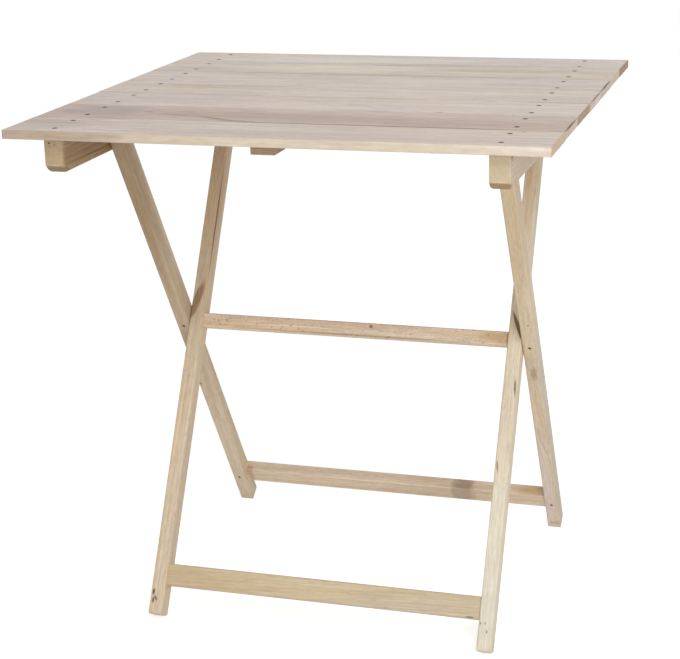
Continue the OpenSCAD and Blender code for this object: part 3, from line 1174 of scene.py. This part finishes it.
@dataclass
class Tabletop(SubAssembly):
    """The boards on their rails, with the batten, the stop blocks, the hinge pins and all their nails."""

    body: Body = Body.TABLETOP
    row: PlankRow = field(default_factory=PlankRow)
    arris: EasedArris = EasedArris()
    nail_steel: WireNailSteel = WireNailSteel()
    pin_steel: TurnedPinSteel = TurnedPinSteel()
    pins: tuple[str, ...] = ("hinge_pin_left", "hinge_pin_right")
    nail_sunk: float = 0.5 * MM
    plank_nail: float = 36 * MM
    board_grain: Grain = Grain(Along.X, pith_mm=(8, -60), runout=(0.6, 0.4))
    # The camera is far off, so the boards' fibres, lines and flecks are drawn two to three times as coarse.
    board_finish: RawBeech = RawBeech(
        "sanded_beech_board", pale="#ebe1d9", warm="#ddcdbe", late="#b29a86", cloud="#d7cbc6",
        fleck="#9c7b60", ring_mm=7.0, fibre_mm=(70.0, 3.6), line_mm=(300.0, 4.5), streak_mm=(480.0, 16.0),
        mottle_mm=(22.0, 4.5), fleck_mm=(12.0, 3.0), cloud_mm=(420.0, 60.0), ring_depth=0.1, cloud_depth=0.6,
        line_depth=0.24, fleck_depth=0.22, fibre_depth=0.06, mottle_depth=0.055,
    )
    rail_finish: RawBeech = RawBeech(
        "sanded_beech_rail", pale="#dfc7a7", warm="#c9ac87", late="#9b7957", cloud="#c4aa8e", ring_mm=3.0,
        warp_mm=3.0, ring_depth=0.5, line_depth=0.5,
    )
    left_rail_finish: RawBeech = replace(
        rail_finish, name="shaded_beech_rail", tint="#cdc6b1", ring_depth=0.4
    )
    right_rail_finish: RawBeech = replace(rail_finish, name="pale_beech_rail", ring_mm=2.4, warp_mm=1.6)
    batten_finish: RawBeech = replace(rail_finish, name="shaded_beech_batten", tint="#c7c1bd")
    tones: tuple[str, ...] = ("#f4f0ed", "#ebe1db", "#fbf8f6", "#fbf8f4", "#fcfaf8", "#fdfaf5", "#ffffff")
    end_tones: tuple[str, ...] = (
        "#eadcc4", "#fffdf6", "#bfaa8c", "#f8f2ea", "#f0e9e0", "#f2eadd", "#ad9d88"
    )
    board_marks: Marks = (
        Mark((-330, 0, 0), (130, 60, 30), "#b0a092", 0.35, 0.3),
        Mark((-350, -49.8, -6), (260, 3.4, 16), "#b09b83", 0.85, 0.3),
        Mark((-205, -49.8, -4), (38, 3, 1.7), "#8c6846", 0.3),
        Mark((-112, -49.8, -6), (95, 3.4, 18), "#c4ae92", 0.6, 0.3),
        Mark((90, -49.8, -6), (330, 3.4, 18), "#cec0a9", 0.88, 0.25),
        Mark((301, 39.4, 0), (3, 3.5, 2), "#6d5343", 0.7, 0.3),
        Mark((301, 42, 0), (20, 2, 3), "#8a7060", 0.45),
        Mark((-270, 6, 0), (85, 48, 30), "#a0929a", 0.45, 0.4, board=2),
        Mark((-211, 3, 0), (11, 2.6, 6), "#5f4636", 0.8, 0.4, board=2),
        Mark((-167, -13, 0), (44, 3.0, 8), "#86695a", 0.65, 0.5, -14.5, 2),
        Mark((-113, -26.5, 0), (34, 4.5, 8), "#7a5b44", 0.75, 0.5, -20, 2),
        Mark((-78, -42, 0), (46, 5.5, 8), "#86674f", 0.7, 0.6, -9, 2),
        Mark((-160, 10, 0), (18, 2.4, 6), "#8a6f60", 0.6, 0.5, board=2),
        Mark((70, -14, 0), (330, 36, 30), "#b09a8a", 0.5, 0.6, -2, 2),
        Mark((130, -48.8, 0), (250, 3.0, 8), "#7d5f48", 0.7, 0.4, board=2),
        Mark((100, 48.8, 0), (250, 2.6, 6), "#e0d5c6", 0.45, 0.3, board=2),
        Mark((349.4, -4, -0.6), (2.6, 62, 2.2), "#4a3729", 0.95, 0.2, board=2),
        Mark((170, -44, 0), (8, 2.4, 4), "#6d5240", 0.7, 0.3, board=3),
        Mark((20, 48.8, 0), (330, 2.6, 6), "#ded2c2", 0.4, 0.3, board=3),
        Mark((349.4, 6, -0.6), (2.0, 62, 1.7), "#6d5947", 0.8, 0.25, board=4),
        Mark((-200, 20, 0), (150, 22, 20), "#b7a18d", 0.35, 0.5, board=4),
        Mark((60, 48.8, 0), (330, 2.8, 8), "#6f523d", 0.8, 0.3, board=5),
        Mark((-60, 48.8, 0), (330, 2.4, 8), "#75583f", 0.7, 0.3, board=6),
        Mark((349.4, 0, -0.6), (2.2, 66, 1.9), "#5b4737", 0.9, 0.25, board=5),
        Mark((110, 0, 0), (150, 44, 30), "#f2e6d9", 0.45, 0.5, board=5),
        Mark((-80, 0, 0), (200, 46, 30), "#f6ead9", 0.6, 0.5, board=6),
        Mark((190, 10, 0), (150, 16, 20), "#c0a682", 0.45, 0.6, 2, 6),
        Mark((-60, 0, 0), (330, 48, 30), "#f8ede0", 0.5, 0.5, board=7),
        Mark((120, -40, 0), (240, 9, 20), "#bfa688", 0.45, 0.5, board=7),
    )
    left_rail_marks: Marks = (
        Mark((-337, 0, 0), (9, 60, 60), "#bda98b", 0.55, 0.2),
        Mark((-150, 13, 0), (330, 3, 40), "#8a6844", 0.55, 0.1),
        Mark((-200, 13, -9), (180, 3, 1.5), "#63472c", 0.6, 0.4),
        Mark((-220, 13, 3), (150, 3, 1.2), "#63472c", 0.55, 0.4),
        Mark((-190, 13, 12), (160, 3, 1.6), "#63472c", 0.6, 0.4),
        Mark((-330, 0, 22.5), (8, 60, 10), "#80664a", 0.65, 0.05, soft=0.12),
        Mark((-334.6, 0, 12.2), (2.2, 12.6, 1.0), "#dac9ac", 0.6, 0.1),
        Mark((-335, -6.1, -16.1), (4, 1.9, 1.9), "#443122", 0.95, 0.3),
        Mark((-335, -5.5, -11.9), (4, 1.2, 1.2), "#5f4935", 0.8, 0.3),
        Mark((-335, -7.5, -5.5), (4, 1.1, 1.1), "#5f4935", 0.7, 0.3),
        Mark((-335, 1.2, -14.4), (4, 1.3, 1.3), "#5f4935", 0.8, 0.3),
    )
    right_rail_marks: Marks = (
        Mark((-337, 0, -4), (7, 40, 40), "#bcae91", 0.7, 0.4),
        Mark((-330, 0, 22.5), (8, 60, 10), "#84653a", 0.65, 0.05, soft=0.12),
        Mark((-334.6, 0, 12.2), (2.2, 12.6, 1.0), "#e2d3b4", 0.5, 0.1),
        Mark((-200, 13, -2), (260, 2.5, 40), "#d6c9b4", 0.6, 0.15),
        Mark((-325, 13, -18), (12, 3, 8), "#94785a", 0.7, 0.4),
    )
    left_rail_grain: Grain = Grain(Along.Y, pith_mm=(-90, 60), shift=1.3, runout=(0.6, 1.2))
    right_rail_grain: Grain = Grain(Along.Y, pith_mm=(-100, -60), shift=2.9, runout=(-0.6, 1.2))
    pieces: tuple[Piece, ...] = (
        Piece("rail_left", left_rail_grain, left_rail_finish, left_rail_marks),
        Piece("rail_right", right_rail_grain, right_rail_finish, right_rail_marks),
        Piece("centre_batten", Grain(Along.Y, pith_mm=(5, 40), shift=4.1), batten_finish),
        Piece("stop_block_left", Grain(Along.X, pith_mm=(9, 40), shift=5.3), rail_finish),
        Piece("stop_block_right", Grain(Along.X, pith_mm=(-9, 40), shift=6.7), rail_finish),
    )

    def build(self) -> None:
        """Builds and dresses the tabletop."""
        row = self.row
        cells = BoardRow(
            pitch=row.pitch, first=row.low.y - row.seam / 2, count=row.count, half_length=row.size.x / 2,
            nail_x=row.nail_x, nail_y=row.nail_y, tones=self.tones, end_tones=self.end_tones,
        )
        top_face = Vector((0, 0, row.high.z))
        material = self.board_finish.material("row", self.board_grain, top_face, self.board_marks, cells)
        self.fit(row.build(material), Slot.PLANKS, row.nodes())
        self.dress_nodes(self.pieces)
        self.ease_nodes([piece.node for piece in self.pieces], self.arris)
        steel = self.nail_steel.material()
        for nails in self.nails():
            self.fit(nails.build(steel), Slot.NAILS, [nails.name])
        pin_steel = self.pin_steel.material()
        for node in self.pins:
            dress(self.frame["nodes"][node], pin_steel)
            log.info("%s: dressed in %s", node, pin_steel.name)

    def nails(self) -> list[NailSet]:
        """Lists the nails of the tabletop: the planks' go down, and the others go up.

        Returns:
            The nail groups.
        """
        row = self.row
        middles = [row.low.y + row.width / 2 + i * row.pitch for i in range(row.count)]
        rows = [y + s * row.nail_y for y in middles for s in (-1, 1)]
        down, up = Vector((0, 0, -1)), Vector((0, 0, 1))
        head = row.high.z - self.nail_sunk
        sets = []
        for side, name in ((-1, "plank_nails_left"), (1, "plank_nails_right")):
            places = [(Vector((side * row.nail_x, y, head)), down) for y in rows]
            sets.append(NailSet(name, places, self.plank_nail))
        for name, places in (
            ("batten_nails", [(self.middle_x("batten_nails"), y) for y in rows]),
            ("stop_block_nails", self.stop_places()),
        ):
            low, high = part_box(name)
            heads = [(Vector((x, y, low.z)), up) for x, y in places]
            sets.append(NailSet(name, heads, high.z - low.z))
        return sets

    def stop_places(self) -> list[Pair]:
        """Gives the sideways and lengthwise places of the stop blocks' nails.

        Returns:
            The places.
        """
        head_r = NailSet.head_r
        low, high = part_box("stop_block_nails")
        return [(s * (high.x - head_r), y) for s in (-1, 1) for y in (low.y + head_r, high.y - head_r)]


@dataclass(frozen=True)
class Timber:
    """A leg or a bar of a leg frame: how it was sawn, its finish, its marks and a bar's level.

    A leg has no level, and its marks are stated from the crossing: up, sideways, back. A bar's level is
    stated from the crossing, along the legs, and its marks from its own middle: right, back, up.
    """

    node: str
    finish: RawBeech
    pith_mm: Pair
    shift: float
    runout: Pair = (0.0, 0.0)
    marks: Marks = ()
    level: float | None = None


@dataclass(frozen=True)
class LegNails:
    """Nails that are driven into both legs, at some levels above the crossing along the legs."""

    node: str
    levels: tuple[float, ...]
    length: float = 17 * MM


@dataclass
class LegFrame(SubAssembly):
    """Two legs with the bars between them, which lean about the crossing."""

    lean: float
    right_leg: str
    nail_side: Side
    timbers: tuple[Timber, ...]
    nails: tuple[LegNails, ...]
    leg_w: float = 27 * MM
    nail_sunk: float = 0.5 * MM
    nail_steel: WireNailSteel = WireNailSteel("dusty_nail_steel", clean="#75634f", dull="#524334")
    finish: RawBeech = RawBeech(
        "sanded_beech_leg", pale="#f0e0c6", warm="#e3caa6", late="#c09d73", cloud="#ddcdbb", ring_mm=4.0,
        ring_depth=0.14, line_depth=0.26, fibre_depth=0.065, mottle_depth=0.06, fleck_depth=0.22,
        fibre_mm=(42.0, 2.2), mottle_mm=(13.0, 2.8), fleck_mm=(8.0, 1.7),
    )

    def at(self, side_x: float, back: float, up: float) -> Vector:
        """Gives a point that is stated in the leg frame's own axes.

        Args:
            side_x: Its sideways place.
            back: Its place behind the legs' middle.
            up: Its place above the crossing, along the legs.

        Returns:
            The point in the frame.
        """
        crossing = Vector(next(j["pos_m"] for j in self.frame["joints"] if j["name"] == "leg_fold"))
        return crossing + Matrix.Rotation(math.radians(self.lean), 3, "X") @ Vector((side_x, back, up))

    def piece(self, timber: Timber) -> Piece:
        """Finds the axes and the zero point of a leg or a bar.

        Args:
            timber: The leg or bar.

        Returns:
            The piece, ready to be dressed.
        """
        if timber.level is None:
            along, zero = Along.Z, self.at(self.middle_x(timber.node), 0, 0)
        else:
            along, zero = Along.X, self.at(0, 0, timber.level)
        grain = Grain(along, self.lean, timber.pith_mm, timber.shift, timber.runout)
        return Piece(timber.node, grain, timber.finish, timber.marks, zero)

    def nail_set(self, nails: LegNails) -> NailSet:
        """Finds the places of a group of nails, in the middle of each leg's width.

        Args:
            nails: The nails.

        Returns:
            The group.
        """
        side, leg_x = self.nail_side.value, self.middle_x(self.right_leg)
        depth = self.leg_w / 2 - self.nail_sunk
        way = Matrix.Rotation(math.radians(self.lean), 3, "X") @ Vector((0, -side, 0))
        places = [(self.at(s * leg_x, side * depth, up), way) for up in nails.levels for s in (-1, 1)]
        return NailSet(nails.node, places, nails.length)

    def build(self) -> None:
        """Builds and dresses the leg frame."""
        self.dress_nodes(self.piece(timber) for timber in self.timbers)
        steel = self.nail_steel.material()
        for nails in self.nails:
            self.fit(self.nail_set(nails).build(steel), Slot.NAILS, [nails.node])


@dataclass
class OuterFrame(LegFrame):
    """The outer legs with the rear foot bar: their tops carry the hinge pins at the front."""

    body: Body = Body.OUTER
    lean: float = 32.8
    right_leg: str = "outer_leg_right"
    nail_side: Side = Side.FRONT
    bar_level: float = -389 * MM
    left_marks: Marks = (
        Mark((-139.5, -7.6, -13.5), (3.5, 2.2, 3), "#6d5139", 0.8, 0.4),
        Mark((330, 0, -10), (330, 24, 30), "#8f7450", 0.75, 0.3),
        Mark((60, 0, -10), (200, 24, 30), "#ab9272", 0.35, 0.3),
        Mark((-330, 0, -10), (200, 20, 30), "#e6d4bb", 0.6, 0.4),
    )
    right_marks: Marks = (
        Mark((250, 0, -8), (240, 20, 30), "#c5ad84", 0.5, 0.4),
        Mark((-57, 1, -13.5), (20, 6, 6), "#9a7d56", 0.6, 0.9),
        Mark((-228, 0, -13.5), (36, 1.9, 4), "#876542", 0.65, 0.8, -10),
        Mark((-196, -4, -13.5), (14, 1.6, 4), "#876542", 0.6, 0.8),
        Mark((50, 2, -13.5), (3, 1.8, 3), "#8a6a49", 0.7, 0.5),
        Mark((-250, 10.2, 0), (430, 3.4, 26), "#c2b5a6", 0.65, 0.15),
        Mark((-330, -4, -12), (220, 14, 20), "#dfcdc4", 0.7, 0.3),
        Mark((-438, 0, -13.5), (6, 14, 8), "#a5845f", 0.3, 0.6),
    )
    bar_marks: Marks = (
        Mark((0, -9.5, -8), (300, 3, 13), "#cdb898", 0.85, 0.2),
        Mark((0, -8.4, 14.6), (300, 2.6, 2.6), "#f7e6cd", 0.75, 0.15),
        Mark((-243, -6, 8), (9, 14, 30), "#a87f52", 0.5, 0.4),
        Mark((118, -2, 4), (25, 26, 34), "#997c69", 0.48, 0.3, soft=0.45),
        Mark((121, 0, 16), (19, 16, 3.5), "#7d6250", 0.35, 0.9),
        Mark((228, 0, 17), (34, 14, 6), "#c19a6b", 0.45, 0.5),
    )
    timbers: tuple[Timber, ...] = (
        Timber(
            "outer_leg_left", replace(LegFrame.finish, tint="#e6e2dd"), pith_mm=(20, 30), shift=0.4,
            runout=(0.8, 0.5), marks=left_marks,
        ),
        Timber(
            "outer_leg_right", replace(LegFrame.finish, tint="#f0eee9"), pith_mm=(-25, 28), shift=1.9,
            runout=(-0.5, 1.0), marks=right_marks,
        ),
        Timber(
            "rear_foot_bar", replace(LegFrame.finish, name="sanded_beech_bar", tint="#f9f5f4"),
            pith_mm=(10, 45), shift=3.3, runout=(0.4, 0.8), marks=bar_marks, level=bar_level,
        ),
    )
    nails: tuple[LegNails, ...] = (
        LegNails("rear_bar_nails", (bar_level,)),
        LegNails("pivot_retaining_nails", (0.0,), 7.6 * MM),
    )


@dataclass
class InnerFrame(LegFrame):
    """The inner legs with the front foot bar, the pivot bar and the top bar."""

    body: Body = Body.INNER
    lean: float = -29.9
    right_leg: str = "inner_leg_right"
    nail_side: Side = Side.BACK
    front_bar_level: float = -381.5 * MM
    top_bar_level: float = 362.69 * MM
    left_marks: Marks = (
        Mark((210, 0, -8), (210, 26, 22), "#ac8758", 0.5, 0.3),
        Mark((150, 9.6, -12.4), (115, 1.5, 1.9), "#664a30", 0.8, 0.3),
        Mark((28, -3, -13.5), (36, 7, 5), "#7a562f", 0.7, 0.25, 13, soft=0.4),
        Mark((-408, -6, -13.5), (6.5, 2.4, 4), "#4a3727", 0.95, 0.5),
        Mark((-420, -5.3, -13.5), (6.5, 2.2, 4), "#54402e", 0.9, 0.5),
        Mark((-417, -2.0, -13.5), (6, 2.0, 4), "#5b4430", 0.85, 0.5, -35),
    )
    right_marks: Marks = (
        Mark((240, 0, 0), (140, 16, 24), "#bd9254", 0.6, 0.4),
        Mark((17, 2.7, -13.5), (28, 3.2, 5), "#6a4726", 0.85, 0.15, -23, soft=0.35),
        Mark((-330, 0, -10), (230, 20, 30), "#dfdbcb", 0.6, 0.4),
        Mark((-71, 7.2, -13.5), (18, 1.8, 4), "#674a32", 0.85, 0.5, -5),
        Mark((-402.5, -7.6, -13.5), (2.8, 1.4, 3), "#7c5f44", 0.8, 0.3),
        Mark((-401.8, -1.3, -13.5), (2.8, 1.4, 3), "#7c5f44", 0.7, 0.3),
        Mark((-413, 2.2, -13.5), (3.2, 1.4, 3), "#7c5f44", 0.8, 0.3),
        Mark((-184, -6.6, -13.5), (12, 1.5, 4), "#694c32", 0.8, 0.3, -8),
        Mark((-443, 0, -13.5), (4.5, 14, 6), "#8a6743", 0.4, 0.5),
    )
    pivot_marks: Marks = (
        Mark((27.9, -9, 4.6), (4.2, 3, 3.2), "#4c3627", 0.95, 0.4),
        Mark((0, -9, -9.8), (260, 3.5, 2.4), "#8a6440", 0.6, 0.3),
        Mark((229.6, -9, 0), (1.5, 7, 14), "#614731", 0.7, 0.3),
        Mark((-30, -9, 4), (190, 6, 9), "#c49d84", 0.35, 0.5),
        Mark((190, -9, 0), (110, 6, 14), "#c6a67e", 0.3, 0.4),
        Mark((222, -9, 0), (42, 7, 16), "#aa865c", 0.4, 0.5),
        Mark((-200, -9, 0), (75, 6, 14), "#bd9e78", 0.25, 0.4),
    )
    front_bar_marks: Marks = (
        Mark((217, -9.5, -14), (8, 4, 2.2), "#806042", 0.75, 0.5),
        Mark((-200, -9.5, 0), (170, 6, 22), "#c2a67c", 0.4, 0.4),
    )
    pivot_finish: RawBeech = replace(
        LegFrame.finish, name="flecked_beech_bar", fleck_depth=0.85, fleck_mm=(3.2, 2.3), warm="#e6bd95"
    )
    front_finish: RawBeech = replace(
        LegFrame.finish, name="straw_beech_bar", tint="#e0dfd7", fleck_depth=0.12, mottle_depth=0.04,
        line_depth=0.18,
    )
    timbers: tuple[Timber, ...] = (
        Timber(
            "inner_leg_left", replace(LegFrame.finish, tint="#ebe8e4"), pith_mm=(18, -30), shift=5.1,
            runout=(0.5, 0.7), marks=left_marks,
        ),
        Timber(
            "inner_leg_right", replace(LegFrame.finish, tint="#f2f6f6"), pith_mm=(-22, -34), shift=6.3,
            runout=(-0.7, 0.6), marks=right_marks,
        ),
        Timber(
            "front_foot_bar", front_finish, pith_mm=(12, 40), shift=7.7, runout=(0.5, 2.0),
            marks=front_bar_marks, level=front_bar_level,
        ),
        Timber(
            "pivot_bar", pivot_finish, pith_mm=(6, 30), shift=8.9, runout=(0.0, 0.6), marks=pivot_marks,
            level=0.0,
        ),
        Timber("top_bar", LegFrame.finish, pith_mm=(9, 35), shift=9.1, level=top_bar_level),
    )
    nails: tuple[LegNails, ...] = (LegNails("inner_frame_nails", (front_bar_level, 0.0, top_bar_level)),)


@dataclass(frozen=True)
class Lamp:
    """A softbox: where it hangs, where it points, its size in metres and its power in watts."""

    name: str
    at: Triple
    to: Triple
    size: float
    power: float


@dataclass(frozen=True)
class Studio:
    """A pale studio with the camera where the photograph was taken from. Angles are degrees."""

    lens_mm: float = 90.65
    sensor_mm: float = 36.0
    camera_at: Triple = (0.66848, -2.28029, 1.12352)
    camera_down: float = 17.0799
    camera_turn: float = 16.6767
    camera_roll: float = -1.3748
    ambient: float = 0.5
    white: str = "#ffffff"
    paper: str = "#f2f2f2"
    floor_side: float = 60.0
    floor_lift: float = 0.56
    lamps: tuple[Lamp, ...] = (
        Lamp("low_softbox", (1.5, -3.0, 1.3), (0.0, 0.0, 0.45), 1.2, 36.0),
        Lamp("high_softbox", (1.4, -2.0, 2.8), (0.0, 0.0, 0.45), 1.2, 29.0),
    )

    def build(self) -> None:
        """Builds the camera, the light and the floor."""
        self.build_camera()
        self.build_world()
        for lamp in self.lamps:
            self.build_lamp(lamp)
        self.build_floor()

    def build_camera(self) -> None:
        """Adds the camera."""
        data = bpy.data.cameras.new("camera")
        data.lens = self.lens_mm
        data.sensor_width = self.sensor_mm
        camera = link_object("camera", data)
        turn = (
            Matrix.Rotation(math.radians(self.camera_turn), 4, "Z")
            @ Matrix.Rotation(math.radians(90 - self.camera_down), 4, "X")
            @ Matrix.Rotation(math.radians(self.camera_roll), 4, "Z")
        )
        camera.matrix_world = Matrix.Translation(self.camera_at) @ turn
        bpy.context.scene.camera = camera

    def seen(self, add: Add) -> Node:
        """Tells the rays that show the backdrop, straight or mirrored, from those that light the table.

        Args:
            add: Adds a node to the tree of the world or of a material.

        Returns:
            1 for a ray that shows the backdrop.
        """
        rays = add("ShaderNodeLightPath").outputs
        mirrored = add(MATH, (rays["Is Glossy Ray"], rays["Is Transmission Ray"]), operation="MAXIMUM")
        return add(MATH, (rays["Is Camera Ray"], mirrored), operation="MAXIMUM")

    def build_world(self) -> None:
        """Lights the scene from all round, and shows white to the camera and in reflections."""
        world = bpy.data.worlds.new("studio")
        world.use_nodes = True
        world.node_tree.nodes.clear()
        add = partial(add_node, world.node_tree)
        strength = add(MAP_RANGE, {"Value": self.seen(add), "To Min": self.ambient})
        light = add("ShaderNodeBackground", {"Color": linear(self.white), "Strength": strength})
        add("ShaderNodeOutputWorld", {"Surface": light})
        bpy.context.scene.world = world

    def build_lamp(self, lamp: Lamp) -> None:
        """Adds one softbox.

        Args:
            lamp: The softbox.
        """
        data = bpy.data.lights.new(lamp.name, "AREA")
        data.shape = "SQUARE"
        data.size = lamp.size
        data.energy = lamp.power
        way = Vector(lamp.to) - Vector(lamp.at)
        turn = way.to_track_quat("-Z", "Y").to_matrix().to_4x4()
        link_object(lamp.name, data).matrix_world = Matrix.Translation(lamp.at) @ turn

    def build_floor(self) -> None:
        """Adds the floor, which is white to the camera and keeps a soft shadow."""
        half = self.floor_side / 2
        mesh = bpy.data.meshes.new("floor")
        corners = [(-half, -half, 0), (half, -half, 0), (half, half, 0), (-half, half, 0)]
        mesh.from_pydata(corners, [], [(0, 1, 2, 3)])
        floor = link_object("floor", mesh)
        made, add = new_material("floor_paper")
        paper = add("ShaderNodeBsdfDiffuse", {"Color": linear(self.paper)})
        lift = add(MATH, (self.seen(add), self.floor_lift), operation="MULTIPLY")
        glow = add("ShaderNodeEmission", {"Color": linear(self.white), "Strength": lift})
        both = add("ShaderNodeAddShader", (paper, glow))
        add("ShaderNodeOutputMaterial", {"Surface": both})
        dress(floor, made)


def main() -> None:
    """Loads the frame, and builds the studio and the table."""
    logging.basicConfig(level=logging.INFO, format="%(name)s: %(message)s")
    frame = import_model()
    bpy.context.scene.view_settings.view_transform = "Standard"
    Studio().build()
    for part in (Tabletop(frame), OuterFrame(frame), InnerFrame(frame)):
        part.build()


if __name__ == "__main__":
    main()
